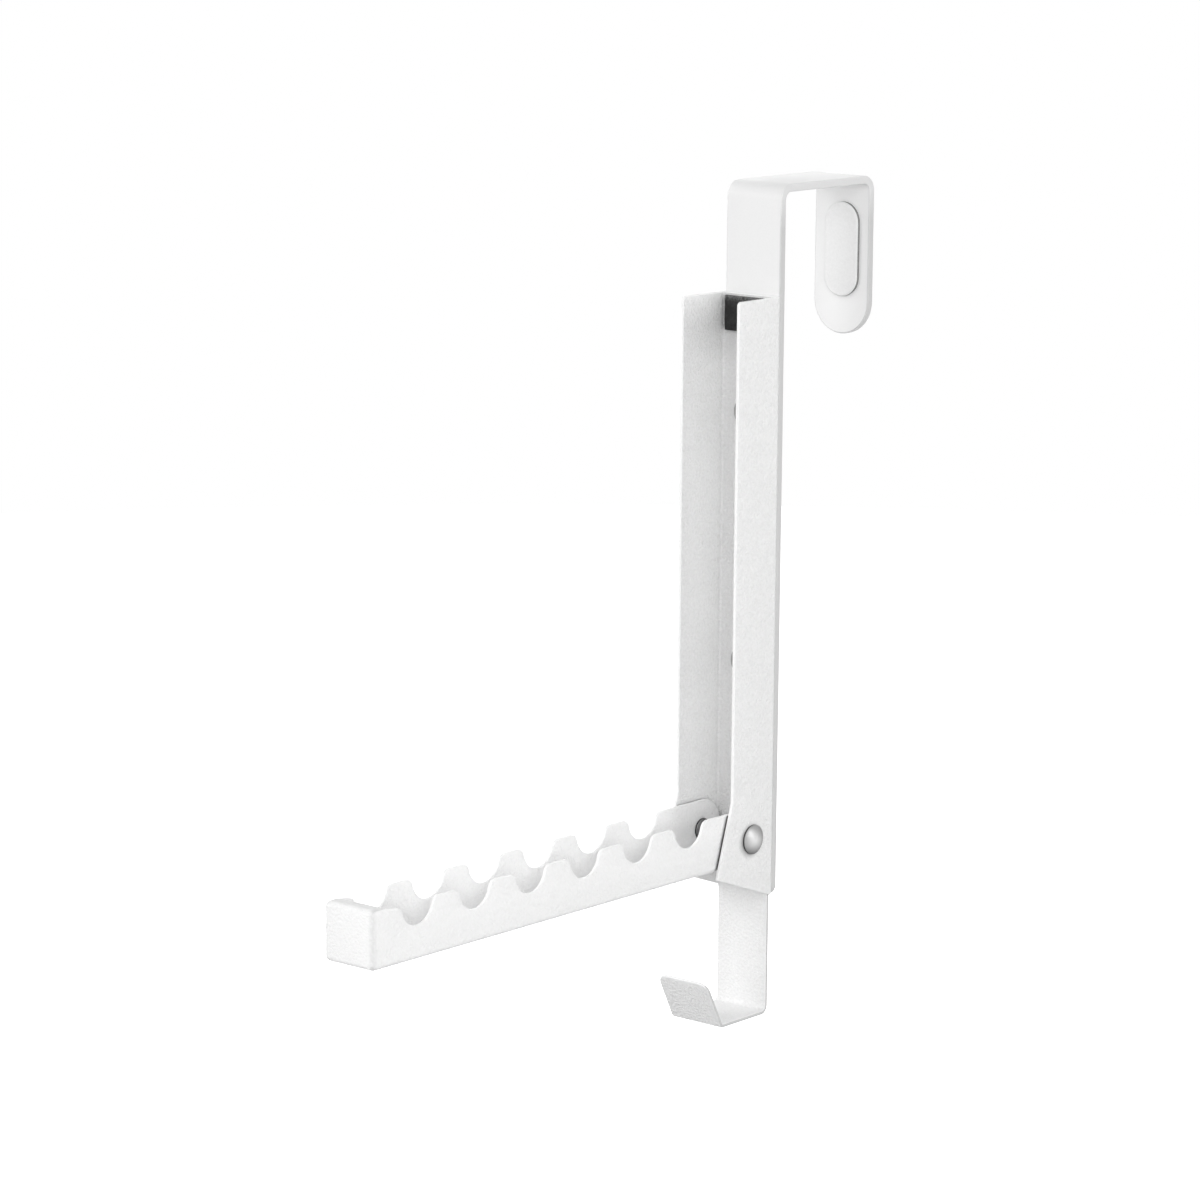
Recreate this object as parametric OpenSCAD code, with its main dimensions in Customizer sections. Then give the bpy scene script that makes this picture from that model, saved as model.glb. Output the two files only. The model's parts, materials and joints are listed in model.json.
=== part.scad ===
// Over-the-door hook: a strap over the top of a door carries a steel channel with a J hook
// at its foot and a notched arm that folds up into the channel.
// X runs across the strap, Y runs from the room towards the door, Z is up.
// The origin is the middle of the strap's underside, where it rests on the top of the door.

/* [Door strap] */
// Width of the flat strap
strap_w = 25; // [22:0.5:34]
// Thickness of the strap
strap_t = 3; // [2:0.1:4]
// Clear gap between the two legs of the strap
door_gap = 49.5; // [36:0.5:60]
// Inside radius of the two bends over the door
strap_bend_r = 3; // [1:0.5:5]
// Length of the back leg below the top of the door
back_leg_h = 56.5; // [50:0.5:90]
// Radius of the two corners at the foot of the front leg
strap_foot_r = 4; // [1:0.5:8]
// How far the foot of the front leg reaches below the web of the channel
strap_foot_past = 0.6; // [0.2:0.1:3]

/* [Door pad] */
// Width of the pad on the back leg
pad_w = 15; // [10:0.5:18]
// Height of the pad
pad_h = 35; // [24:0.5:38]
// Thickness of the pad
pad_t = 1.7; // [1:0.1:3]
// Distance from the top of the door down to the pad
pad_drop = 7.4; // [5:0.1:12]
// Sideways offset of the pad from the middle of the leg
pad_shift = 0.8; // [0:0.1:2]

/* [Channel bracket] */
// Thickness of the sheet that the channel and the J hook are pressed from
sheet_t = 1.3; // [1:0.1:2]
// Inside radius of the channel's two long bends
channel_bend_r = 0.9; // [0.3:0.1:1.1]
// Distance from the top of the door down to the top of the channel
channel_drop = 37.2; // [30:0.5:80]
// Height of the pivot above the foot of the web
pivot_rise = 23.7; // [20:0.1:30]
// How far the folded arm stands above the top of the channel
tip_past = 1.2; // [0:0.1:3]
// How far the edges of the side walls stand in front of the folded arm
front_lap = 1.9; // [0.5:0.1:5]
// Radius of the top front corner of each side wall
wall_corner_r = 1.5; // [0.5:0.1:4]
// Height above the pivot where the side walls start to flare forward
flare_rise = 15.3; // [12:0.1:20]
// How far the flare reaches forward
flare_reach = 8.4; // [4:0.1:12]
// Drop of the flare's lowest front corner below the pivot
flare_drop = 11.9; // [10:0.1:14]

/* [J hook] */
// How much narrower than the channel the hook strip is on each side
hook_relief = 1.9; // [1.9:0.1:4]
// Drop of the hook's underside below the foot of the web
hook_drop = 45.3; // [35:0.1:60]
// Reach from the strap to the outer corner of the hook
hook_reach = 27.2; // [20:0.1:40]
// Inside radius of the bend at the back of the hook
hook_back_r = 2; // [1:0.1:5]
// Inside radius of the bend at the lip
hook_lip_r = 0.7; // [0.4:0.1:3]
// Lean of the lip outward from upright, in degrees
lip_lean = 27; // [10:1:40]
// Height of the lip above the hook's underside
lip_h = 18.1; // [12:0.1:30]
// Radius of the two corners of the lip
lip_corner_r = 4; // [1:0.1:8]

/* [Swing arm] */
// Outside width of the arm
arm_w = 22.8; // [20:0.1:30]
// Thickness of the arm's sheet
arm_t = 1.2; // [0.8:0.1:1.6]
// Height of the arm's side plates
arm_h = 20.6; // [19:0.1:26]
// Height of the teeth above the pivot
arm_crest = 11; // [10:0.1:12]
// Outside radius of the arm's edges
arm_corner_r = 2.5; // [1.7:0.1:4]
// Number of hanger notches
notch_count = 6; // [4:1:8]
// Distance between notches
notch_pitch = 28.7; // [26:0.1:40]
// Distance from the pivot to the nearest notch
notch_first = 34; // [30:0.5:50]
// Radius of the bottom of a notch
notch_r = 7.8; // [5:0.1:8]
// Depth of a notch below the teeth
notch_depth = 8.5; // [7.8:0.1:10]
// Radius of the shoulders of the teeth
shoulder_r = 3.2; // [1:0.1:4]
// Distance from the last notch to the front of the arm
front_land = 21.9; // [18:0.1:40]
// Drop of the plates' front land below the teeth
land_drop = 0.8; // [0.8:0.1:2]
// Radius of the two top corners of the front wall
front_corner_r = 4.5; // [3:0.1:6]
// Depth of the lip folded back over the front of the arm
return_d = 5.2; // [4:0.1:8]
// Inside radius of the lip's bend
return_bend_r = 0.4; // [0.2:0.1:1.5]

/* [Pivot and rivets] */
// Diameter of the rivet shanks
shank_d = 6; // [4:0.1:7]
// Diameter of the domed rivet heads
head_d = 11; // [9:0.1:13]
// Height of a head's straight rim
head_rim = 0.8; // [0.3:0.1:1.5]
// Whole height of a head
head_h = 2.4; // [1.5:0.1:3]
// Diameter of the formed end inside the arm
tail_d = 8.2; // [7.5:0.1:10]
// Height of the formed end
tail_h = 1.1; // [0.6:0.1:2]
// Outside diameter of the pivot washers
washer_d = 12; // [9:0.1:14]
// Gap between each side wall and the arm, which the washer fills
side_gap = 0.8; // [0.5:0.1:1.5]
// Distance from the top of the channel to the upper web rivet
upper_rivet_drop = 43.3; // [25:0.1:60]
// Height of the lower web rivet above the foot of the web
lower_rivet_rise = 86.5; // [50:0.1:90]

/* [Catch pad] */
// How far short of upright the black pad stops the folded arm, in degrees
fold_short = 0.4; // [0.3:0.05:0.6]
// Height of the black pad
catch_h = 13; // [8:0.1:20]
// Distance from the top of the channel to the black pad
catch_drop = 1; // [0:0.1:2]
// Gap between the black pad and each side wall
catch_side_gap = 1.3; // [1.2:0.1:3]

/* [Clearances] */
// Radial running clearance at the rivets
fit_gap = 0.05; // [0.02:0.01:0.1]
// Clearance where pieces of the arm and its washers face each other
face_gap = 0.05; // [0.02:0.01:0.1]
// Gap between the arm's rounded rear end and the web
rear_gap = 0.6; // [0.3:0.1:1]

/* [Hidden] */
$fn = 96;
// Spare length of every cutting shape past the piece that it cuts
past = 1;
white_coat = "whitesmoke";
nickel = "silver";

// Planes of the strap
strap_front_y = -door_gap / 2 - strap_t;
strap_bend_out = strap_bend_r + strap_t;
// Pivot axis, which runs along X
pivot_back = sheet_t + rear_gap + arm_crest;
arm_reach = notch_first + (notch_count - 1) * notch_pitch + front_land;
channel_h = pivot_rise + arm_reach - tip_past;
foot_z = -channel_drop - channel_h;
pivot_y = strap_front_y - pivot_back;
pivot_z = foot_z + pivot_rise;
// Channel
channel_w = arm_w + 2 * (side_gap + sheet_t);
arm_base = arm_h - arm_crest;
channel_depth = pivot_back + arm_base + front_lap;
flare_depth = channel_depth + flare_reach;
wall_in_x = channel_w / 2 - sheet_t;
web_y = strap_front_y - sheet_t;
// Hook
hook_w = channel_w - 2 * hook_relief;
hook_z = foot_z - hook_drop;
hook_lip_out = hook_lip_r + sheet_t;
lip_turn = 90 - lip_lean;
lip_centre_y = strap_front_y - hook_reach + hook_lip_out * tan(lip_turn / 2);
lip_centre_z = hook_z + hook_lip_out;
lip_len = (lip_h - hook_lip_out + hook_lip_out * sin(lip_lean)) / cos(lip_lean);
// Arm, measured from the pivot
arm_x = arm_w / 2;
land_z = arm_crest - land_drop;
return_z = land_z + arm_t;
notch_z = arm_crest - notch_depth + notch_r;
shoulder_z = arm_crest - shoulder_r;
shoulder_y = sqrt(pow(notch_r + shoulder_r, 2) - pow(notch_z - shoulder_z, 2));
shoulder_touch_z = notch_z + (shoulder_z - notch_z) * notch_r / (notch_r + shoulder_r);
stop_y = pivot_back - sheet_t - face_gap;
// The black pad fills the space that the folded arm leaves in front of the web
catch_t = pivot_back - sheet_t - return_z + (arm_reach - return_d) * sin(fold_short) - face_gap;
// Rivets
bore_r = shank_d / 2 + fit_gap;
dome_h = head_h - head_rim;
dome_r = (pow(head_d / 2, 2) + pow(dome_h, 2)) / (2 * dome_h);
washer_t = side_gap - 2 * face_gap;
upper_rivet_z = -channel_drop - upper_rivet_drop;
lower_rivet_z = foot_z + lower_rivet_rise;

// Extrudes an outline drawn in Y and Z along X, centred
module along_x(w) {
    translate([-w / 2, 0, 0])
        rotate([90, 0, 90])
            linear_extrude(w)
                children();
}

// Extrudes an outline drawn in X and Z from y0 towards the door
module along_y(y0, d) {
    translate([0, y0 + d, 0])
        rotate([90, 0, 0])
            linear_extrude(d)
                children();
}

// Part of a ring between two angles less than half a turn apart
module ring_part(r_in, t, a0, a1) {
    far = 2 * (r_in + t);
    mid = (a0 + a1) / 2;
    intersection() {
        difference() {
            circle(r_in + t);
            circle(r_in);
        }
        polygon([[0, 0],
                 far * [cos(a0), sin(a0)],
                 far * [cos(mid), sin(mid)] / cos((a1 - a0) / 2),
                 far * [cos(a1), sin(a1)]]);
    }
}

// What is cut away to make a corner round, with the middle of the rounding at the origin
module corner_waste(r) {
    difference() {
        square(r + past);
        circle(r);
    }
}

// Rectangle from y0 up to y1 whose two lower corners are round
module round_foot(w, y0, y1, r) {
    difference() {
        translate([-w / 2, y0])
            square([w, y1 - y0]);
        for (side = [0, 1])
            mirror([side, 0])
                translate([w / 2 - r, y0 + r])
                    mirror([0, 1]) corner_waste(r);
    }
}

// Upright oval that stands on y = 0
module oval(w, h) {
    translate([-w / 2, w / 2]) square([w, h - w]);
    translate([0, w / 2]) circle(w / 2);
    translate([0, h - w / 2]) circle(w / 2);
}

// Side view of the strap's span and its two bends
module span_outline() {
    straight = door_gap - 2 * strap_bend_r;
    translate([-straight / 2, 0])
        square([straight, strap_t]);
    translate([-straight / 2, -strap_bend_r])
        ring_part(strap_bend_r, strap_t, 90, 180);
    translate([straight / 2, -strap_bend_r])
        ring_part(strap_bend_r, strap_t, 0, 90);
}

// Straight bore through the web and the strap for a web rivet
module web_bore(z) {
    translate([0, strap_front_y - sheet_t - past, z])
        rotate([-90, 0, 0])
            cylinder(r = bore_r, h = sheet_t + strap_t + 2 * past);
}

module door_strap() {
    color(white_coat)
    difference() {
        union() {
            along_x(strap_w) span_outline();
            along_y(door_gap / 2, strap_t)
                round_foot(strap_w, -back_leg_h, -strap_bend_r, strap_w / 2);
            along_y(strap_front_y, strap_t)
                round_foot(strap_w, foot_z - strap_foot_past, -strap_bend_r, strap_foot_r);
        }
        web_bore(upper_rivet_z);
        web_bore(lower_rivet_z);
    }
}

module door_pad() {
    color("linen")
    translate([pad_shift, 0, -pad_drop - pad_h])
        along_y(door_gap / 2 - pad_t, pad_t) oval(pad_w, pad_h);
}

// Plan of the channel, open towards the room, with the outside of its web at y = 0
module channel_plan() {
    depth = flare_depth + past;
    difference() {
        rotate(180)
            round_foot(channel_w, 0, depth, channel_bend_r + sheet_t);
        translate([0, -sheet_t])
            rotate(180)
                round_foot(channel_w - 2 * sheet_t, 0, depth, channel_bend_r);
    }
}

// Side view of the channel: straight walls with a flare round the pivot
module channel_side() {
    front = -channel_depth;
    top = -channel_drop;
    difference() {
        polygon([[0, top],
                 [front, top],
                 [front, pivot_z + flare_rise],
                 [-flare_depth, pivot_z - flare_drop],
                 [0, foot_z]]);
        translate([front + wall_corner_r, top - wall_corner_r])
            mirror([1, 0]) corner_waste(wall_corner_r);
    }
}

// Side view of the J hook's strip, bends and lip
module hook_outline() {
    back_y = strap_front_y - sheet_t - hook_back_r;
    back_z = hook_z + sheet_t + hook_back_r;
    translate([web_y, back_z])
        square([sheet_t, foot_z + sheet_t - back_z]);
    translate([back_y, back_z])
        ring_part(hook_back_r, sheet_t, -90, 0);
    translate([lip_centre_y, hook_z])
        square([back_y - lip_centre_y, sheet_t]);
    translate([lip_centre_y, lip_centre_z]) {
        ring_part(hook_lip_r, sheet_t, 180 + lip_lean, 270);
        rotate(lip_lean)
            translate([-hook_lip_out, 0])
                square([sheet_t, lip_len]);
    }
}

// Cuts the two top corners of the lip round
module lip_corners() {
    translate([0, lip_centre_y, lip_centre_z])
        rotate([lip_lean, 0, 0])
            for (side = [0, 1])
                mirror([side, 0, 0])
                    translate([hook_w / 2 - lip_corner_r, 0, lip_len - lip_corner_r])
                        along_y(-hook_lip_out - past, sheet_t + 2 * past)
                            corner_waste(lip_corner_r);
}

module channel_bracket() {
    color(white_coat)
    difference() {
        union() {
            intersection() {
                translate([0, strap_front_y, foot_z - past])
                    linear_extrude(channel_h + 2 * past) channel_plan();
                translate([0, strap_front_y, 0])
                    along_x(channel_w + 2 * past) channel_side();
            }
            along_x(hook_w) hook_outline();
        }
        lip_corners();
        web_bore(upper_rivet_z);
        web_bore(lower_rivet_z);
        translate([-channel_w / 2 - past, pivot_y, pivot_z])
            rotate([0, 90, 0])
                cylinder(r = bore_r, h = channel_w + 2 * past);
    }
}

module catch_pad() {
    catch_w = 2 * (wall_in_x - catch_side_gap);
    color("dimgray")
    translate([-catch_w / 2, web_y - catch_t, -channel_drop - catch_drop - catch_h])
        cube([catch_w, catch_t, catch_h]);
}

// Domed head on the plane z = 0, rising along Z
module rivet_head() {
    cylinder(d = head_d, h = head_rim);
    translate([0, 0, head_rim])
        rotate_extrude()
            intersection() {
                translate([0, dome_h - dome_r]) circle(dome_r);
                square([head_d / 2, dome_h]);
            }
}

// Web rivet with its head in front of the web and its end flush with the strap's back
module web_rivet(z) {
    color(nickel)
    translate([0, web_y, z])
        rotate([90, 0, 0])
            union() {
                rivet_head();
                translate([0, 0, -sheet_t - strap_t])
                    cylinder(d = shank_d, h = sheet_t + strap_t);
            }
}

module web_rivet_upper() {
    web_rivet(upper_rivet_z);
}

module web_rivet_lower() {
    web_rivet(lower_rivet_z);
}

// One notch with the round shoulders of its two teeth
module notch() {
    translate([0, notch_z]) circle(notch_r);
    difference() {
        translate([-shoulder_y, shoulder_touch_z])
            square([2 * shoulder_y, arm_crest - shoulder_touch_z + past]);
        for (side = [-1, 1])
            translate([side * shoulder_y, shoulder_z]) circle(shoulder_r);
    }
}

// Side view of the arm's two plates
module plate_outline() {
    difference() {
        union() {
            intersection() {
                circle(arm_crest);
                square(arm_crest + past);
            }
            polygon([[-arm_reach, -arm_base],
                     [stop_y, -arm_base],
                     [stop_y, -arm_base / 2],
                     [arm_crest, 0],
                     [0, arm_crest],
                     [-arm_reach, arm_crest]]);
        }
        for (i = [0 : notch_count - 1])
            translate([-notch_first - i * notch_pitch, 0]) notch();
        translate([-arm_reach - past, land_z])
            square([front_land + past, land_drop + past]);
        top_front_waste(land_z, front_corner_r);
        low_front_waste();
    }
}

// Waste of the front edge at the top, in the side view
module top_front_waste(height, r) {
    translate([-arm_reach + r, height - r])
        mirror([1, 0]) corner_waste(r);
}

// Waste of the front edge at the bottom, in the side view
module low_front_waste() {
    translate([-arm_reach + arm_corner_r, arm_corner_r - arm_base])
        rotate(180) corner_waste(arm_corner_r);
}

// Space inside a round-edged box: its plan and its front view, cut back by one wall
module arm_shell(cut) {
    r = arm_corner_r - cut;
    intersection() {
        translate([0, 0, -arm_base - past])
            linear_extrude(arm_h + 3 * past)
                translate([0, -arm_reach + cut])
                    round_foot(arm_w - 2 * cut, 0, arm_reach + pivot_back + past, r);
        along_y(-arm_reach - past, arm_reach + pivot_back + 3 * past)
            round_foot(arm_w - 2 * cut, -arm_base + cut, arm_crest + past, r);
    }
}

// Front wall with round top corners and the lip folded back from its top edge
module arm_front() {
    intersection() {
        arm_shell(0);
        along_y(-arm_reach, arm_corner_r)
            mirror([0, 1])
                round_foot(arm_w, -return_z, arm_base, front_corner_r);
        along_x(arm_w) front_outline();
    }
}

// Side view of the front wall and its lip
module front_outline() {
    difference() {
        translate([-arm_reach, -arm_base])
            square([return_d, arm_base + return_z]);
        top_front_waste(return_z, return_bend_r + arm_t);
        low_front_waste();
    }
}

module swing_arm() {
    color(white_coat)
    translate([0, pivot_y, pivot_z])
        difference() {
            union() {
                intersection() {
                    arm_shell(0);
                    along_x(arm_w) plate_outline();
                }
                arm_front();
                intersection() {
                    along_x(arm_w - 2 * front_corner_r) front_outline();
                    translate([0, 0, land_z])
                        linear_extrude(2 * arm_t)
                            square([arm_w, 3 * arm_reach], center = true);
                }
            }
            difference() {
                arm_shell(arm_t);
                translate([0, 0, land_z])
                    linear_extrude(2 * arm_t)
                        translate([-arm_w / 2, -arm_reach])
                            square([arm_w, return_d]);
            }
            translate([-arm_x - past, 0, 0])
                rotate([0, 90, 0])
                    cylinder(r = bore_r, h = arm_w + 2 * past);
        }
}

// Thin washer on the pivot between a side wall and the arm
module washer(side) {
    color(nickel)
    translate([side * (arm_x + side_gap / 2) - washer_t / 2, pivot_y, pivot_z])
        rotate([0, 90, 0])
            difference() {
                cylinder(d = washer_d, h = washer_t);
                translate([0, 0, -past])
                    cylinder(r = bore_r, h = washer_t + 2 * past);
            }
}

module washer_left() {
    washer(-1);
}

module washer_right() {
    washer(1);
}

// Pivot rivet: head outside a side wall, formed end inside the arm
module pivot_rivet(side) {
    shank_in = sheet_t + side_gap + arm_t + face_gap;
    color(nickel)
    translate([side * channel_w / 2, pivot_y, pivot_z])
        rotate([0, side * 90, 0])
            union() {
                rivet_head();
                translate([0, 0, -shank_in - tail_h / 2])
                    cylinder(d = shank_d, h = shank_in + tail_h / 2);
                translate([0, 0, -shank_in - tail_h])
                    cylinder(d = tail_d, h = tail_h);
            }
}

module pivot_rivet_left() {
    pivot_rivet(-1);
}

module pivot_rivet_right() {
    pivot_rivet(1);
}

door_strap();
door_pad();
channel_bracket();
catch_pad();
web_rivet_upper();
web_rivet_lower();
swing_arm();
washer_left();
washer_right();
pivot_rivet_left();
pivot_rivet_right();
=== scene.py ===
# Over-the-door hook: white powder-coated sheet, steel rivets, one black and one pale pad.
import json
import math
import bmesh
import bpy
from mathutils import Matrix, Vector
from mathutils import noise as soft_noise


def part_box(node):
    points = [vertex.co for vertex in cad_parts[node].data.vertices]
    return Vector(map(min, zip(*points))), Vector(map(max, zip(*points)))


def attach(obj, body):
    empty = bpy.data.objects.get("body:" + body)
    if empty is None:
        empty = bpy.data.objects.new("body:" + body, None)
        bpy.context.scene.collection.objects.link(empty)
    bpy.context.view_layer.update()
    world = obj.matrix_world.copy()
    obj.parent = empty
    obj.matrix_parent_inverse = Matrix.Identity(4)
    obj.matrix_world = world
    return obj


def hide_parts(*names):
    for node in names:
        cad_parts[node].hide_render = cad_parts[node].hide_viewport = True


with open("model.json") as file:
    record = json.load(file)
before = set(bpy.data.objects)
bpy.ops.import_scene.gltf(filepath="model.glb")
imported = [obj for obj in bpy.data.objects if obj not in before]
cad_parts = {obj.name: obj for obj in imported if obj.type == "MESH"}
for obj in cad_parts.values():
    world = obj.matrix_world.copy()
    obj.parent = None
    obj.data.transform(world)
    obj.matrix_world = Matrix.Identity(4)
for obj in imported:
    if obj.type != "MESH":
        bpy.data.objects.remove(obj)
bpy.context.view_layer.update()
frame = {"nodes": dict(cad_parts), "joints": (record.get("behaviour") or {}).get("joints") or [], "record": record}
scene = bpy.context.scene
MM = 0.001
ROOT = "hanger_body"
ARM = "arm"


def mm(*values):
    return Vector(values) * MM


# A place in the frame, in millimetres and rounded to clear the noise in its stored numbers
def in_mm(point):
    return [round(c / MM, 4) for c in point]


def box_mm(node):
    return [in_mm(corner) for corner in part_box(node)]


# A unit vector towards a place round the object. Azimuth 0 is in front of it, and angles are in degrees
def direction(azimuth, elevation):
    a, e = math.radians(azimuth), math.radians(elevation)
    return Vector((math.sin(a) * math.cos(e), -math.cos(a) * math.cos(e), math.sin(e)))


# Sizes from the frame, in millimetres
PIVOT_Y, PIVOT_Z = in_mm(frame["joints"][0]["pos_m"])[1:]
PIVOT = (0, PIVOT_Y, PIVOT_Z)
(_, ARM_FRONT, ARM_FOOT), (ARM_X, ARM_REAR, ARM_TOP) = box_mm("swing_arm")
FLANGE_X, CHANNEL_BACK, _ = box_mm("channel_bracket")[1]
CATCH_PAD_TOP = box_mm("catch_pad")[1][2]

# Other sizes, in millimetres
STRAP_SHEET = 3.0
CHANNEL_SHEET = 1.3
ARM_SHEET = 1.2
WEB_FRONT = CHANNEL_BACK - CHANNEL_SHEET
HOOK_TOP = -262.0
HOOK_LIP = -51.0
SHANK_R = 3.0
BORE_R = 3.05
HEAD_R = 5.5
RIM_H = 0.8
DOME_H = 1.6
WEB_HEAD_SPREAD = 1.15
INNER_END_R = 4.1
INNER_END_H = 0.75
PLAY = 0.05
WASHER_R = 6.0
WASHER_SHEET = 0.7
WEB_RIVET_Z = {word: sum(z for _, _, z in box_mm("web_rivet_" + word)) / 2 for word in ("upper", "lower")}

# The arm's outline, in millimetres: its corners and lip, and heights above the pivot
ARM_CORNER = 2.0
LIP_DEPTH = 7.5
LIP_SHEET = 1.7
LAND_H = 10.2
CREST_H = 11.0
NOTCH_H = 10.3
NOTCH_R = 7.8
SHOULDER_R = 3.2
NOTCH_PITCH = 28.7
NOTCHES = [34.0 + NOTCH_PITCH * i for i in range(6)]

# Material slots of a dressed sheet: its faces, its cut edges and the sides of the hook
FACES, EDGES, SIDES = range(3)


# The camera, fitted to the photograph
def make_camera():
    azimuth, elevation, roll = 40.388, 10.735, math.radians(0.426)
    target, distance = mm(-71.379, -27.75, -159.078), 1.646805
    back = direction(azimuth, elevation)
    side = direction(azimuth + 90, 0)
    up = back.cross(side)
    right = side * math.cos(roll) + up * math.sin(roll)
    top = up * math.cos(roll) - side * math.sin(roll)
    data = bpy.data.cameras.new("camera")
    data.sensor_width = 36
    data.lens = 131.05
    data.clip_end = 50
    camera = bpy.data.objects.new("camera", data)
    place = Matrix((right, top, back)).transposed().to_4x4()
    place.translation = target + back * distance
    camera.matrix_world = place
    scene.collection.objects.link(camera)
    scene.camera = camera


# Nodes. A value that is a socket is linked to the node's input, and any other is set on the input itself
def add(tree, kind, inputs=None, **settings):
    node = tree.nodes.new(kind)
    for key, value in settings.items():
        setattr(node, key, value)
    for key, value in (inputs or {}).items():
        if isinstance(value, bpy.types.NodeSocket):
            tree.links.new(value, node.inputs[key])
        else:
            node.inputs[key].default_value = value
    return node


def calculate(tree, operation, *values):
    return add(tree, "ShaderNodeMath", dict(enumerate(values)), operation=operation).outputs[0]


def calculate_vector(tree, operation, *values, result="Vector"):
    return add(tree, "ShaderNodeVectorMath", dict(enumerate(values)), operation=operation).outputs[result]


def noise(tree, coords, scale, detail=2.0, roughness=0.5):
    inputs = {"Vector": coords, "Scale": scale, "Detail": detail, "Roughness": roughness}
    return add(tree, "ShaderNodeTexNoise", inputs).outputs["Fac"]


# Carries the range from low to high over to start and end, and holds those two beyond it
def ramp(tree, value, low, high, start=0.0, end=1.0):
    inputs = {"Value": value, "From Min": low, "From Max": high, "To Min": start, "To Max": end}
    return add(tree, "ShaderNodeMapRange", inputs).outputs["Result"]


# Blender's Mix node has sockets of its own for each kind of value: its two inputs and its result
MIX_SOCKETS = {"FLOAT": (2, 3, 0), "RGBA": (6, 7, 2)}


def mix(tree, kind, share, first, second):
    a, b, result = MIX_SOCKETS[kind]
    return add(tree, "ShaderNodeMix", {0: share, a: first, b: second}, data_type=kind).outputs[result]


def grey(level):
    return (level, level, level, 1)


def place_on(tree, coords, axis):
    return add(tree, "ShaderNodeSeparateXYZ", {"Vector": coords}).outputs[axis]


# The distance in metres from the line along an axis through a point, which is in millimetres
def distance_from(tree, coords, axis, point):
    away = calculate_vector(tree, "SUBTRACT", coords, mm(*point))
    across = calculate_vector(tree, "MULTIPLY", away, [0 if letter == axis else 1 for letter in "XYZ"])
    return calculate_vector(tree, "LENGTH", across, result="Value")


# Shades. Each returns a function that works out, from the coordinates, the share of a colour that stays
# The share goes from start to end between two places on an axis, in millimetres
def along(axis, low, high, start, end=1.0):
    return lambda tree, coords: ramp(tree, place_on(tree, coords, axis), low * MM, high * MM, start, end)


# The same between two radii about a line
def about(axis, point, near, far, start, end=1.0):
    return lambda tree, coords: ramp(tree, distance_from(tree, coords, axis, point),
                                     near * MM, far * MM, start, end)


# The same between two distances from the middle plane, to either side
def off_middle(near, far, start=0.0):
    return lambda tree, coords: ramp(tree, calculate(tree, "ABSOLUTE", place_on(tree, coords, "X")),
                                     near * MM, far * MM, start)


def lighter_of(one, other):
    return lambda tree, coords: calculate(tree, "MAXIMUM", one(tree, coords), other(tree, coords))


def darken(tree, coords, colour, shades, black=0.0):
    for shade in shades:
        colour = mix(tree, "RGBA", shade(tree, coords), grey(black), colour)
    return colour


# Painted shade where other surfaces stand close, as in a narrow slit or corner: the colour goes dark there. The
# reach is in millimetres
def painted_gap_shade(tree, colour, reach):
    near = add(tree, "ShaderNodeAmbientOcclusion", {"Distance": reach * MM}, samples=8)
    curve = add(tree, "ShaderNodeValToRGB", {"Fac": near.outputs["AO"]})
    stops = curve.color_ramp.elements
    stops[0].position, stops[0].color = 0.22, grey(0)
    stops[1].position, stops[1].color = 0.95, grey(1)
    stops.new(0.5).color = grey(0.9)
    return mix(tree, "RGBA", curve.outputs["Color"], grey(0.02), colour)


def new_material(name):
    material = bpy.data.materials.new(name)
    material.use_nodes = True
    tree = material.node_tree
    tree.nodes.clear()
    return material, tree, add(tree, "ShaderNodeTexCoord").outputs["Object"]


# The shader of a material, with its bump, and the output. The depth of the bump is in millimetres
def make_surface(tree, colour, roughness, height, bump, depth, constants):
    relief = add(tree, "ShaderNodeBump", {"Height": height, "Strength": bump, "Distance": depth * MM})
    inputs = {"Base Color": colour, "Roughness": roughness, "Normal": relief.outputs["Normal"], **constants}
    shader = add(tree, "ShaderNodeBsdfPrincipled", inputs)
    add(tree, "ShaderNodeOutputMaterial", {"Surface": shader.outputs[0]})


# Powder coat, with a fine grain and broad clouds in its colour and gloss
# Light and dark are the greys of its grain. Its depth and the reach of its painted shade where surfaces stand
# close are in millimetres
# Relief, if given, works out the strength of the grain's bump from the coordinates
def powder_coat(name, light, dark, grain, bump, roughness, depth=0.06, gap_shade_reach=None, shades=(), relief=None):
    material, tree, coords = new_material(name)
    fine = noise(tree, coords, grain, 2.5, 0.6)
    broad = noise(tree, coords, 45.0, 3.0, 0.5)
    clouds = ramp(tree, broad, 0.3, 0.7, 0.0, 0.15)
    both = calculate(tree, "MULTIPLY_ADD", ramp(tree, fine, 0.25, 0.75), 0.85, clouds)
    colour = darken(tree, coords, mix(tree, "RGBA", both, grey(dark), grey(light)), shades)
    if gap_shade_reach:
        colour = painted_gap_shade(tree, colour, gap_shade_reach)
    strength = relief(tree, coords) if relief else bump
    gloss = ramp(tree, broad, 0.3, 0.7, roughness - 0.04, roughness + 0.04)
    make_surface(tree, colour, gloss, fine, strength, depth, {"Specular IOR Level": 0.4})
    return material


# The grain's bump is weaker on the hook's strip and floor than on the channel, and full on the hook's lip
def hook_relief(tree, coords):
    hook = along("Y", HOOK_LIP - 3.0, HOOK_LIP, 1.0, 0.6)(tree, coords)
    above_hook = along("Z", HOOK_TOP, HOOK_TOP + 12.0, 0.0)(tree, coords)
    return mix(tree, "FLOAT", above_hook, hook, 0.75)


# Lighter specks on the black pad's top and the upper edges of its sides: partly dusty specks, partly painted light
# on the top
def dust_and_painted_top_light(tree, coords, colour, speck_grey):
    height = along("Z", CATCH_PAD_TOP - 2.3, CATCH_PAD_TOP - 0.4, 0.0)(tree, coords)
    specks = ramp(tree, noise(tree, coords, 1600.0), 0.35, 0.6, 0.15, 1.0)
    return mix(tree, "RGBA", calculate(tree, "MULTIPLY", height, specks), colour, grey(speck_grey))


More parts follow.
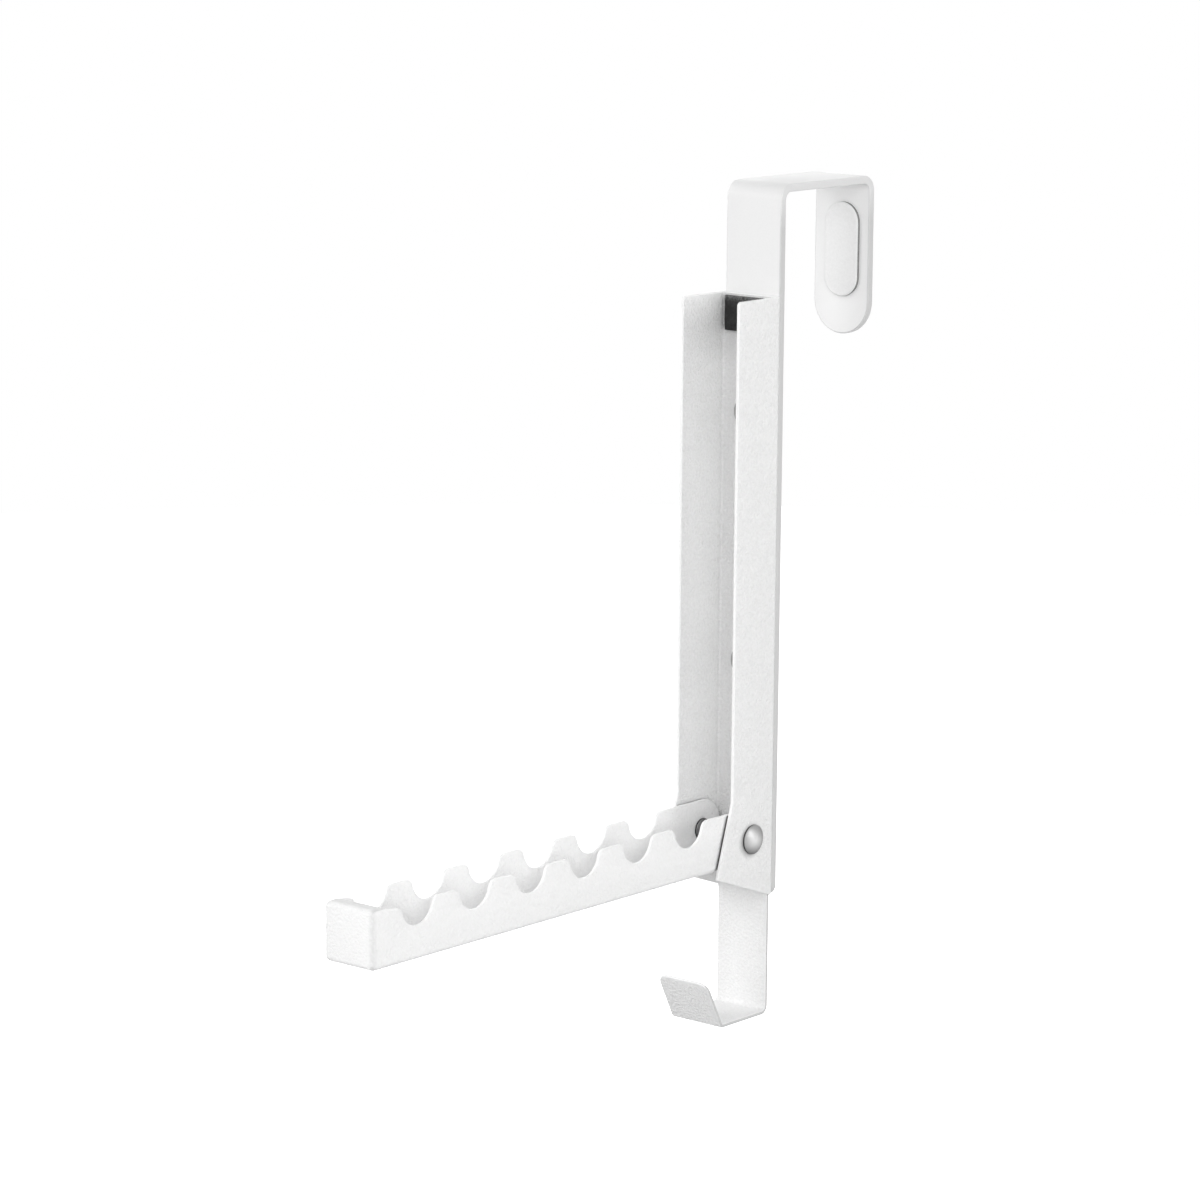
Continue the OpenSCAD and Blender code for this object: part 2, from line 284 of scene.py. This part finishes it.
def rubber(name, light, dark, grain, bump, roughness, speck_grey=None):
    material, tree, coords = new_material(name)
    fine = noise(tree, coords, grain, 3.0, 0.65)
    colour = mix(tree, "RGBA", ramp(tree, fine, 0.3, 0.7), grey(dark), grey(light))
    if speck_grey:
        colour = dust_and_painted_top_light(tree, coords, colour, speck_grey)
    make_surface(tree, colour, roughness, fine, bump, 0.08, {"Specular IOR Level": 0.3})
    return material


def plated_steel(name, light, dark, roughness, shades=()):
    material, tree, coords = new_material(name)
    fine = noise(tree, coords, 900.0, 3.0, 0.6)
    colour = mix(tree, "RGBA", ramp(tree, fine, 0.3, 0.7), grey(dark), grey(light))
    colour = darken(tree, coords, colour, shades, 0.01)
    gloss = ramp(tree, fine, 0.3, 0.7, roughness - 0.03, roughness + 0.04)
    make_surface(tree, colour, gloss, fine, 0.05, 0.03, {"Metallic": 1.0})
    return material


# Soft shades of the photograph that the lamps don't give
# The channel is painted darker towards the hook, round the pivot rivets and, between the walls, near the black
# pad, as painted shade and shadow
CHANNEL_SHADES = (
    along("Z", -300.0, -250.0, 0.96),
    about("X", (0, PIVOT_Y - 1.0, PIVOT_Z - 0.5), 4.7, 6.9, 0.55),
    lighter_of(about("X", (0, WEB_FRONT + 0.05, CATCH_PAD_TOP - 6.8), 4.0, 20.0, 0.84),
               off_middle(FLANGE_X - 1.1, FLANGE_X - 0.9)),
)
# The arm is painted darker to the left, on the lip of its front and along its two upright corners, as painted
# shade
ARM_SHADES = (
    along("X", -10.0, 10.0, 0.965),
    lighter_of(about("X", (0, ARM_FRONT + 4.45, ARM_TOP - 1.2), 2.5, 4.6, 0.8),
               off_middle(ARM_X - 0.9, ARM_X - 0.7)),
    about("Z", (ARM_X - 0.6, ARM_FRONT + 0.65, 0), 0.2, 1.7, 0.84),
    about("Z", (0.6 - ARM_X, ARM_FRONT + 0.65, 0), 0.2, 1.7, 0.84),
)
# A pivot rivet has a painted highlight a little off the middle of its dome, painted shade on its inner end, and
# painted black shade on the sides of both at their foot
PIVOT_RIVET_PAINTED_LIGHT = (
    about("X", (0, PIVOT_Y - 0.9, PIVOT_Z + 1.0), 1.0, 6.4, 0.95, 0.18),
    off_middle(FLANGE_X - 1.5, FLANGE_X - 0.5, 0.75),
    lighter_of(off_middle(FLANGE_X + 0.35, FLANGE_X + 0.5),
               about("X", PIVOT, INNER_END_R - 0.15, INNER_END_R - 0.08, 1.0, 0.0)),
)

# The finish of each material slot
MATERIALS = {
    # The strap's coat is painted lighter towards the back leg, as painted light
    "strap_coat": powder_coat(
        "strap_coat", light=0.865, dark=0.838, grain=1500.0, bump=0.25, roughness=0.42,
        shades=[along("Y", 0.0, 24.0, 0.94)]),
    "channel_coat": powder_coat(
        "channel_coat", light=0.985, dark=0.855, grain=1000.0, bump=1.0, roughness=0.5, depth=0.93, gap_shade_reach=2.5,
        shades=CHANNEL_SHADES, relief=hook_relief),
    "arm_coat": powder_coat(
        "arm_coat", light=0.995, dark=0.925, grain=1000.0, bump=1.0, roughness=0.5, depth=0.5, gap_shade_reach=2.5,
        shades=ARM_SHADES),
    "door_pad_foam": rubber("door_pad_foam", light=0.84, dark=0.79, grain=1200.0, bump=0.2, roughness=0.75),
    "catch_pad_rubber": rubber(
        "catch_pad_rubber", light=0.032, dark=0.01, grain=1100.0, bump=1.0, roughness=0.7, speck_grey=0.17),
    "web_rivet_steel": plated_steel("web_rivet_steel", light=0.5, dark=0.44, roughness=0.4),
    "pivot_rivet_steel": plated_steel(
        "pivot_rivet_steel", light=0.54, dark=0.49, roughness=0.42, shades=PIVOT_RIVET_PAINTED_LIGHT),
    "washer_steel": plated_steel("washer_steel", light=0.3, dark=0.24, roughness=0.45),
}

# The finish of the cut edges, for the slots that have one, and of the hook's sides
EDGE_MATERIALS = {
    # The strap's cut edges are painted darker down the legs than along the top span, as painted shade
    "strap_coat": powder_coat(
        "strap_edge_coat", light=0.78, dark=0.75, grain=1500.0, bump=0.25, roughness=0.42,
        shades=[along("Z", -14.0, -2.0, 0.82)]),
    "channel_coat": powder_coat(
        "channel_edge_coat", light=0.95, dark=0.88, grain=1100.0, bump=0.5, roughness=0.45),
    "arm_coat": powder_coat("arm_edge_coat", light=0.98, dark=0.92, grain=1100.0, bump=0.5, roughness=0.45),
    "door_pad_foam": rubber("door_pad_side", light=0.28, dark=0.2, grain=900.0, bump=0.6, roughness=0.8),
}
HOOK_SIDE = powder_coat("hook_side_coat", light=0.62, dark=0.58, grain=1500.0, bump=0.25, roughness=0.45)
SLOTS = {s["node"]: s["material_slot"] for s in frame["record"]["subparts"]}


def paint(piece, node):
    piece.data.materials.append(MATERIALS[SLOTS[node]])
    if SLOTS[node] in EDGE_MATERIALS:
        piece.data.materials.append(EDGE_MATERIALS[SLOTS[node]])


def finish_piece(piece, node, body):
    if not piece.data.materials:
        paint(piece, node)
    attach(piece, body)
    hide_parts(node)


# Mesh helpers
def link(name, bm):
    mesh = bpy.data.meshes.new(name)
    bm.to_mesh(mesh)
    bm.free()
    piece = bpy.data.objects.new(name, mesh)
    scene.collection.objects.link(piece)
    return piece


def bake_modifiers(piece):
    bpy.context.view_layer.update()
    ready = piece.evaluated_get(bpy.context.evaluated_depsgraph_get())
    mesh = bpy.data.meshes.new_from_object(ready)
    piece.modifiers.clear()
    old = piece.data
    piece.data = mesh
    bpy.data.meshes.remove(old)


def combine(piece, other, operation):
    modifier = piece.modifiers.new(operation, "BOOLEAN")
    modifier.operation = operation
    modifier.solver = "EXACT"
    modifier.object = other
    bake_modifiers(piece)
    bpy.data.objects.remove(other)


# Smooth shading, with an edge kept sharp where its faces turn by more than the angle
def smooth(piece, degrees=30):
    bm = bmesh.new()
    bm.from_mesh(piece.data)
    for f in bm.faces:
        f.smooth = True
    for e in bm.edges:
        e.smooth = e.smooth and e.calc_face_angle(math.pi) <= math.radians(degrees)
    bm.to_mesh(piece.data)
    bm.free()


def is_sharp(e, degrees=35):
    return len(e.link_faces) == 2 and e.calc_face_angle(0) > math.radians(degrees)


def midpoint(e):
    return (e.verts[0].co + e.verts[1].co) / 2


# Corners with a sharp edge that is too short to leave room for the full radius
def tight_corners(bm, shortest):
    short = [e for e in bm.edges if is_sharp(e) and e.calc_length() < shortest]
    ends = dict.fromkeys(v for e in short for v in e.verts)
    return [v for v in ends if sum(is_sharp(e) for e in v.link_edges) > 2]


# Cut edges of the sheet: faces as narrow as it is thick, with sharp sides. They may run on into each other
def mark_cut_faces(bm, thickness):
    for f in bm.faces:
        soft = [e.calc_length() for e in f.edges if not is_sharp(e)]
        width = 2 * f.calc_area() / sum(e.calc_length() for e in f.edges)
        cut = width < 1.15 * thickness and len(soft) < len(f.edges) and max(soft, default=0) < 1.2 * thickness
        f.material_index = EDGES if cut else FACES


# Rolls the sharp edges over. An edge whose faces turn by the first angle of turn isn't rolled, and one that
# turns by the second gets the full radius, or the share of it that near(midpoint) gives
# The roll stops short of a tight corner, and a sheet of the given thickness gets its cut edges marked
def roll_edges(piece, radius, segments, near=None, turn=(35, 36), thickness=None):
    shortest, long_edge, stop, margin = 0.35 * MM, 3 * MM, 1.2 * MM, 0.05 * MM
    bm = bmesh.new()
    bm.from_mesh(piece.data)
    bmesh.ops.remove_doubles(bm, verts=bm.verts, dist=1e-6)
    bmesh.ops.dissolve_limit(bm, angle_limit=0.002, verts=bm.verts, edges=bm.edges)
    if thickness:
        mark_cut_faces(bm, thickness * MM)
    tight = tight_corners(bm, shortest)
    spots = [v.co.copy() for v in tight]
    for v in tight:
        for e in list(v.link_edges):
            if is_sharp(e) and e.calc_length() > long_edge:
                bmesh.utils.edge_split(e, v, stop / e.calc_length())
    weight = bm.edges.layers.float.new("bevel_weight_edge")
    for e in bm.edges:
        if is_sharp(e, turn[0]):
            middle = midpoint(e)
            share = (math.degrees(e.calc_face_angle(0)) - turn[0]) / (turn[1] - turn[0])
            crowded = e.calc_length() < long_edge and any((middle - c).length < stop + margin for c in spots)
            own = near(middle) if near else 1.0
            e[weight] = 0.0 if crowded else own * min(1.0, share)
    bm.to_mesh(piece.data)
    bm.free()
    bevel = piece.modifiers.new("rolled_edges", "BEVEL")
    bevel.width = radius * MM
    bevel.segments = segments
    bevel.limit_method = "WEIGHT"
    bevel.use_clamp_overlap = False
    bevel.material = EDGES if thickness else -1
    bake_modifiers(piece)
    smooth(piece)


# A copy of a sheet solid. The bores that rivets hide are filled, so that its faces stay whole
def copy_sheet(name, node):
    bm = bmesh.new()
    bm.from_mesh(frame["nodes"][node].data)
    bmesh.ops.remove_doubles(bm, verts=bm.verts, dist=1e-6)

    def in_bore(v):
        x, y, z = v.co / MM
        distances = [math.hypot(x, z - height) for height in WEB_RIVET_Z.values()]
        return min(math.hypot(y - PIVOT_Y, z - PIVOT_Z), *distances) < BORE_R + 0.05

    walls = [f for f in bm.faces if all(in_bore(v) for v in f.verts)]
    bmesh.ops.delete(bm, geom=walls, context="FACES")
    rims = [e for e in bm.edges if len(e.link_faces) == 1]
    bmesh.ops.holes_fill(bm, edges=rims, sides=0)
    bmesh.ops.recalc_face_normals(bm, faces=bm.faces)
    piece = link(name, bm)
    paint(piece, node)
    return piece


# A round piece turned about an axis. Its profile is a list of (radius, height) points in millimetres, and is
# closed if it ends where it starts
def turned(name, profile, origin, axis, segments=72):
    bm = bmesh.new()
    rings = []
    for r, h in profile:
        turns = [2 * math.pi * i / segments for i in range(segments)] if r else [0]
        rings.append([bm.verts.new((r * math.cos(t) * MM, r * math.sin(t) * MM, h * MM)) for t in turns])
    for low_ring, high_ring in zip(rings, rings[1:]):
        for i in range(segments):
            j = (i + 1) % segments
            corners = []
            for v in (low_ring[i % len(low_ring)], low_ring[j % len(low_ring)],
                      high_ring[j % len(high_ring)], high_ring[i % len(high_ring)]):
                if v not in corners:
                    corners.append(v)
            if len(corners) > 2:
                bm.faces.new(corners)
    if profile[0] == profile[-1]:
        bmesh.ops.remove_doubles(bm, verts=bm.verts, dist=1e-7)
    bmesh.ops.recalc_face_normals(bm, faces=bm.faces)
    place = Vector(axis).to_track_quat("Z", "Y").to_matrix().to_4x4()
    place.translation = mm(*origin)
    bmesh.ops.transform(bm, matrix=place, verts=bm.verts)
    piece = link(name, bm)
    smooth(piece, 25)
    return piece


def arc(centre, radius, start, end, steps):
    angles = [math.radians(start + (end - start) * i / steps) for i in range(steps + 1)]
    return [(centre[0] + radius * math.cos(t), centre[1] + radius * math.sin(t)) for t in angles]


# A box. The edges whose midpoints, in millimetres, pick accepts are rounded by the radius
def round_box(name, low, high, radius=0.0, pick=lambda m: False, segments=8):
    bm = bmesh.new()
    bmesh.ops.create_cube(bm, size=1)
    size = [h - l for l, h in zip(low, high)]
    for v in bm.verts:
        v.co = mm(*[l + (c + 0.5) * s for l, c, s in zip(low, v.co, size)])
    edges = [e for e in bm.edges if pick(midpoint(e) / MM)]
    if edges:
        bmesh.ops.bevel(bm, geom=edges, offset=radius * MM, segments=segments, profile=0.5,
                        affect="EDGES", clamp_overlap=False)
    bmesh.ops.recalc_face_normals(bm, faces=bm.faces)
    return link(name, bm)


# A shape drawn in the side view, as (y, z) points from the pivot, and carried along X across the arm
def cut_across(name, outline):
    bm = bmesh.new()
    half = ARM_X + 3
    sides = [[bm.verts.new(mm(x, PIVOT_Y + y, PIVOT_Z + z)) for y, z in outline] for x in (-half, half)]
    for side in sides:
        bm.faces.new(side)
    near_side, far_side = sides
    count = len(outline)
    for i in range(count):
        j = (i + 1) % count
        bm.faces.new((near_side[i], near_side[j], far_side[j], far_side[i]))
    bmesh.ops.recalc_face_normals(bm, faces=bm.faces)
    return link(name, bm)


# The strap
def make_strap():
    strap = copy_sheet("strap_bar", "door_strap")
    roll_edges(strap, radius=0.45, segments=4, thickness=STRAP_SHEET)
    return strap


# The channel with its J hook
def make_channel():
    channel = copy_sheet("channel_sheet", "channel_bracket")
    roll_edges(channel, radius=0.4, segments=4, thickness=CHANNEL_SHEET)
    channel.data.materials.append(HOOK_SIDE)
    for f in channel.data.polygons:
        if f.material_index == EDGES and abs(f.normal.x) > 0.7 and f.center.z < HOOK_TOP * MM:
            f.material_index = SIDES
    return channel


# What is cut from the top and rear of the arm: the slope behind its front, the notches with their shoulders,
# the round end and the edge that stops on the web. The points are from the pivot, and close outside the arm
def arm_cut_line():
    front, rear = ARM_FRONT - PIVOT_Y, ARM_REAR - PIVOT_Y
    foot, top = ARM_FOOT - PIVOT_Z, ARM_TOP - PIVOT_Z
    above, below, behind = top + 2, foot - 2, 18.0
    slope_start, stop_top = front + 3.0, -4.8

    # How far a shoulder of the given height stands from its notch, and the angle at which their arcs meet
    def shoulder(height):
        rise = NOTCH_H - height + SHOULDER_R
        run = math.sqrt((NOTCH_R + SHOULDER_R) ** 2 - rise ** 2)
        return run, math.degrees(math.atan2(rise, run))

    line = [(slope_start, above), (slope_start, top + 0.15)]
    for distance in reversed(NOTCHES):
        height = LAND_H if distance == NOTCHES[-1] else CREST_H
        front_run, front_angle = shoulder(height)
        rear_run, rear_angle = shoulder(CREST_H)
        front_centre = (-distance - front_run, height - SHOULDER_R)
        rear_centre = (-distance + rear_run, CREST_H - SHOULDER_R)
        line += arc(front_centre, SHOULDER_R, 90, front_angle, 8)
        line += arc((-distance, NOTCH_H), NOTCH_R, 180 + front_angle, 360 - rear_angle, 24)[1:-1]
        line += arc(rear_centre, SHOULDER_R, 180 - rear_angle, 90, 8)
    line += arc((0, 0), CREST_H, 90, 0, 20)[1:]
    return line + [(rear, stop_top), (rear, below), (behind, below), (behind, above)]


# The arm: a front and a body are joined to a box with round corners, which is hollowed, opened behind the lip
# and cut to its outline. The cut also takes off the spare length at the rear
def make_arm():
    middle = (ARM_FOOT + ARM_TOP) / 2
    inner_x = ARM_X - ARM_SHEET
    seam = ARM_FRONT + 19
    rear = PIVOT_Y + 13
    beyond = rear + 5
    arm = round_box("swing_arm_sheet", (-ARM_X, ARM_FRONT, ARM_FOOT), (ARM_X, seam + 1, ARM_TOP), ARM_CORNER,
                    lambda m: m.y < seam)
    body = round_box("arm_body", (-ARM_X, seam - 1, ARM_FOOT), (ARM_X, rear, ARM_TOP), ARM_CORNER,
                     lambda m: m.z < middle and abs(m.x) > 5 and seam < m.y < rear - 1)
    combine(arm, body, "UNION")
    space = round_box("arm_space", (-inner_x, ARM_FRONT + ARM_SHEET, ARM_FOOT + ARM_SHEET),
                      (inner_x, beyond, ARM_TOP - LIP_SHEET), ARM_CORNER - ARM_SHEET,
                      lambda m: m.y < rear and m.z < ARM_TOP - 3, segments=6)
    combine(arm, space, "DIFFERENCE")
    mouth = round_box("arm_mouth", (-inner_x, ARM_FRONT + LIP_DEPTH, ARM_TOP - 4),
                      (inner_x, beyond, ARM_TOP + 3))
    combine(arm, mouth, "DIFFERENCE")
    combine(arm, cut_across("arm_profile", arm_cut_line()), "DIFFERENCE")
    combine(arm, cut_across("arm_bore", arc((0, 0), BORE_R, 0, 360, 48)[:-1]), "DIFFERENCE")

    # The outer edges of the front are round already, and those of the bores stay nearly sharp
    def share(point):
        x, y, z = point / MM
        if y < ARM_FRONT + 13.5 and abs(x) > inner_x + ARM_SHEET / 2:
            return 0.0
        return 0.3 if math.hypot(y - PIVOT_Y, z - PIVOT_Z) < BORE_R + 0.45 else 1.0

    arm.data.materials.clear()
    paint(arm, "swing_arm")
    roll_edges(arm, radius=0.35, segments=3, near=share, turn=(22, 65), thickness=ARM_SHEET)
    return arm


# Profiles of the rivets, with height 0 on the seat of the head
# The pressed end of a rivet, below sheets of the given depth
def formed_end(depth, radius, height):
    foot = -depth - height
    return [(0, foot), (radius - 1.0, foot), (radius - 0.35, foot + 0.08), (radius - 0.08, foot + 0.3),
            (radius, foot + 0.55), (radius - 0.1, -depth - 0.06), (SHANK_R, -depth)]


# A plain end, just proud of the sheets, with a rounded edge
def plain_end(depth):
    foot = -depth - 0.05
    return [(0, foot), (SHANK_R - 0.3, foot), (SHANK_R - 0.1, foot + 0.03), (SHANK_R, foot + 0.15)]


# A head with a faint groove round its rim, and a dome
def rivet_head(spread=1.0):
    rim = [(5.15, 0.0), (5.36, 0.06), (5.46, 0.2), (5.46, 0.34), (5.4, 0.46), (5.46, 0.58), (5.44, 0.78)]
    dome_r = ((HEAD_R * spread) ** 2 + DOME_H ** 2) / (2 * DOME_H)
    line = [(SHANK_R, 0)] + [(r * spread, h) for r, h in rim]
    steps = 18
    for i in range(1, steps + 1):
        r = (HEAD_R - 0.14) * spread * (1 - i / steps)
        line.append((r, RIM_H + DOME_H - dome_r + math.sqrt(dome_r ** 2 - r ** 2)))
    return line


# A pivot rivet, from the side wall through to the inner face of the arm's side plate
def make_pivot_rivet(side, word):
    depth = FLANGE_X - ARM_X + ARM_SHEET + PLAY
    profile = formed_end(depth, INNER_END_R, INNER_END_H) + rivet_head()
    return turned("pivot_rivet_head_" + word, profile, (side * FLANGE_X, PIVOT_Y, PIVOT_Z), (side, 0, 0))


# A washer between the side wall and the arm, with its edges broken
def make_washer(side, word):
    half, edge = WASHER_SHEET / 2, 0.12
    lower = [(BORE_R, edge - half), (BORE_R + edge, -half), (WASHER_R - edge, -half), (WASHER_R, edge - half)]
    upper = [(r, -h) for r, h in reversed(lower)]
    middle_x = (ARM_X + FLANGE_X - CHANNEL_SHEET) / 2
    origin = (side * middle_x, PIVOT_Y, PIVOT_Z)
    return turned("pivot_washer_" + word, lower + upper + lower[:1], origin, (1, 0, 0))


# A web rivet, through the channel's web and the strap
def make_web_rivet(word):
    profile = plain_end(CHANNEL_SHEET + STRAP_SHEET) + rivet_head(WEB_HEAD_SPREAD)
    return turned("web_rivet_head_" + word, profile, (0, WEB_FRONT, WEB_RIVET_Z[word]), (0, -1, 0))


# The die-cut pad on the strap's back leg, its face edge softened and its foot left nearly square
def make_door_pad():
    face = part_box("door_pad")[0].y
    bm = bmesh.new()
    bm.from_mesh(frame["nodes"]["door_pad"].data)
    pad = link("door_pad_disc", bm)
    paint(pad, "door_pad")
    roll_edges(pad, radius=0.7, segments=6, near=lambda point: 1.0 if point.y < face + 0.5 * MM else 0.15)
    for f in pad.data.polygons:
        f.material_index = EDGES if abs(f.normal.y) < 0.35 else FACES
    return pad


# The rubber block in the channel's top, with a slightly uneven cut on all but its back
def make_catch_pad():
    longest, inset, waves = 0.45 * MM, 0.14 * MM, 0.12 * MM
    block = round_box("catch_pad_block", *box_mm("catch_pad"), radius=0.25, pick=lambda m: True, segments=3)
    bm = bmesh.new()
    bm.from_mesh(block.data)
    for _ in range(5):
        long_edges = [e for e in bm.edges if e.calc_length() > longest]
        bmesh.ops.subdivide_edges(bm, edges=long_edges, cuts=1, use_grid_fill=True)
    bmesh.ops.triangulate(bm, faces=[f for f in bm.faces if len(f.verts) > 4])
    for v in bm.verts:
        if v.normal.y <= 0.7:
            rough = soft_noise.noise(v.co * 420) + 0.5 * soft_noise.noise(v.co * 1300)
            v.co -= v.normal * (inset + waves * rough)
    bm.to_mesh(block.data)
    bm.free()
    smooth(block, 50)
    return block


# A soft lamp that points at the object. Its size is in metres
def make_lamp(name, azimuth, elevation, power, size=(1.0, 1.4)):
    target, distance = mm(0, -120, -160), 1.6
    data = bpy.data.lights.new(name, "AREA")
    data.shape = "RECTANGLE"
    data.size, data.size_y = size
    data.energy = power
    lamp = bpy.data.objects.new(name, data)
    towards = direction(azimuth, elevation)
    lamp.location = target + towards * distance
    lamp.rotation_euler = towards.to_track_quat("Z", "Y").to_euler()
    scene.collection.objects.link(lamp)


# One for a ray of any of the named kinds, and zero for the rest
def is_ray(tree, *kinds):
    path = add(tree, "ShaderNodeLightPath")
    flags = [path.outputs[f"Is {kind} Ray"] for kind in kinds]
    share = flags[0]
    for flag in flags[1:]:
        share = calculate(tree, "MAXIMUM", share, flag)
    return share


# A weak white fill, which is seen as plain white
def make_world(level):
    world = bpy.data.worlds.new("studio")
    scene.world = world
    world.use_nodes = True
    tree = world.node_tree
    tree.nodes.clear()
    fill = add(tree, "ShaderNodeBackground", {"Color": grey(1), "Strength": level})
    shown = add(tree, "ShaderNodeBackground", {"Color": grey(1), "Strength": 1.0})
    seen = is_ray(tree, "Camera", "Glossy", "Transmission")
    both = add(tree, "ShaderNodeMixShader", {0: seen, 1: fill.outputs[0], 2: shown.outputs[0]})
    add(tree, "ShaderNodeOutputWorld", {"Surface": both.outputs[0]})


# A round floor. It lights the object as grey, but is seen as white with the object's shadow on it
def make_floor(z):
    bm = bmesh.new()
    bmesh.ops.create_circle(bm, cap_ends=True, segments=96, radius=3.0)
    floor = link("floor", bm)
    floor.location.z = z
    material, tree, coords = new_material("floor")
    plain = add(tree, "ShaderNodeBsdfDiffuse", {"Color": grey(0.45)})
    lit = add(tree, "ShaderNodeBsdfDiffuse", {"Color": grey(1)})
    glow = ramp(tree, calculate_vector(tree, "LENGTH", coords, result="Value"), 0.25, 0.8, 0.15, 1.0)
    lift = add(tree, "ShaderNodeEmission", {"Color": grey(1), "Strength": glow})
    shown = add(tree, "ShaderNodeAddShader", {0: lit.outputs[0], 1: lift.outputs[0]})
    seen = is_ray(tree, "Camera", "Glossy")
    both = add(tree, "ShaderNodeMixShader", {0: seen, 1: plain.outputs[0], 2: shown.outputs[0]})
    add(tree, "ShaderNodeOutputMaterial", {"Surface": both.outputs[0]})
    floor.data.materials.append(material)


# The camera and the pieces
make_camera()
finish_piece(make_strap(), "door_strap", ROOT)
finish_piece(make_channel(), "channel_bracket", ROOT)
finish_piece(make_arm(), "swing_arm", ARM)
for side, word in ((-1, "left"), (1, "right")):
    finish_piece(make_pivot_rivet(side, word), "pivot_rivet_" + word, ROOT)
    finish_piece(make_washer(side, word), "washer_" + word, ROOT)
for word in WEB_RIVET_Z:
    finish_piece(make_web_rivet(word), "web_rivet_" + word, ROOT)
finish_piece(make_door_pad(), "door_pad", ROOT)
finish_piece(make_catch_pad(), "catch_pad", ROOT)

# The studio
scene.view_settings.view_transform = "Standard"
make_world(0.3)
make_floor(-0.62)
make_lamp("left_front", -30, 18, 11.0)
make_lamp("near_camera", 40, 18, 9.6)
make_lamp("right_front", 60, 18, 5.0)
make_lamp("right_back", 106, 13, 6.5, size=(0.7, 0.8))
make_lamp("left", -90, 20, 10.5)
make_lamp("back", 180, 30, 6.0)
make_lamp("left_back", -135, 20, 3.0)
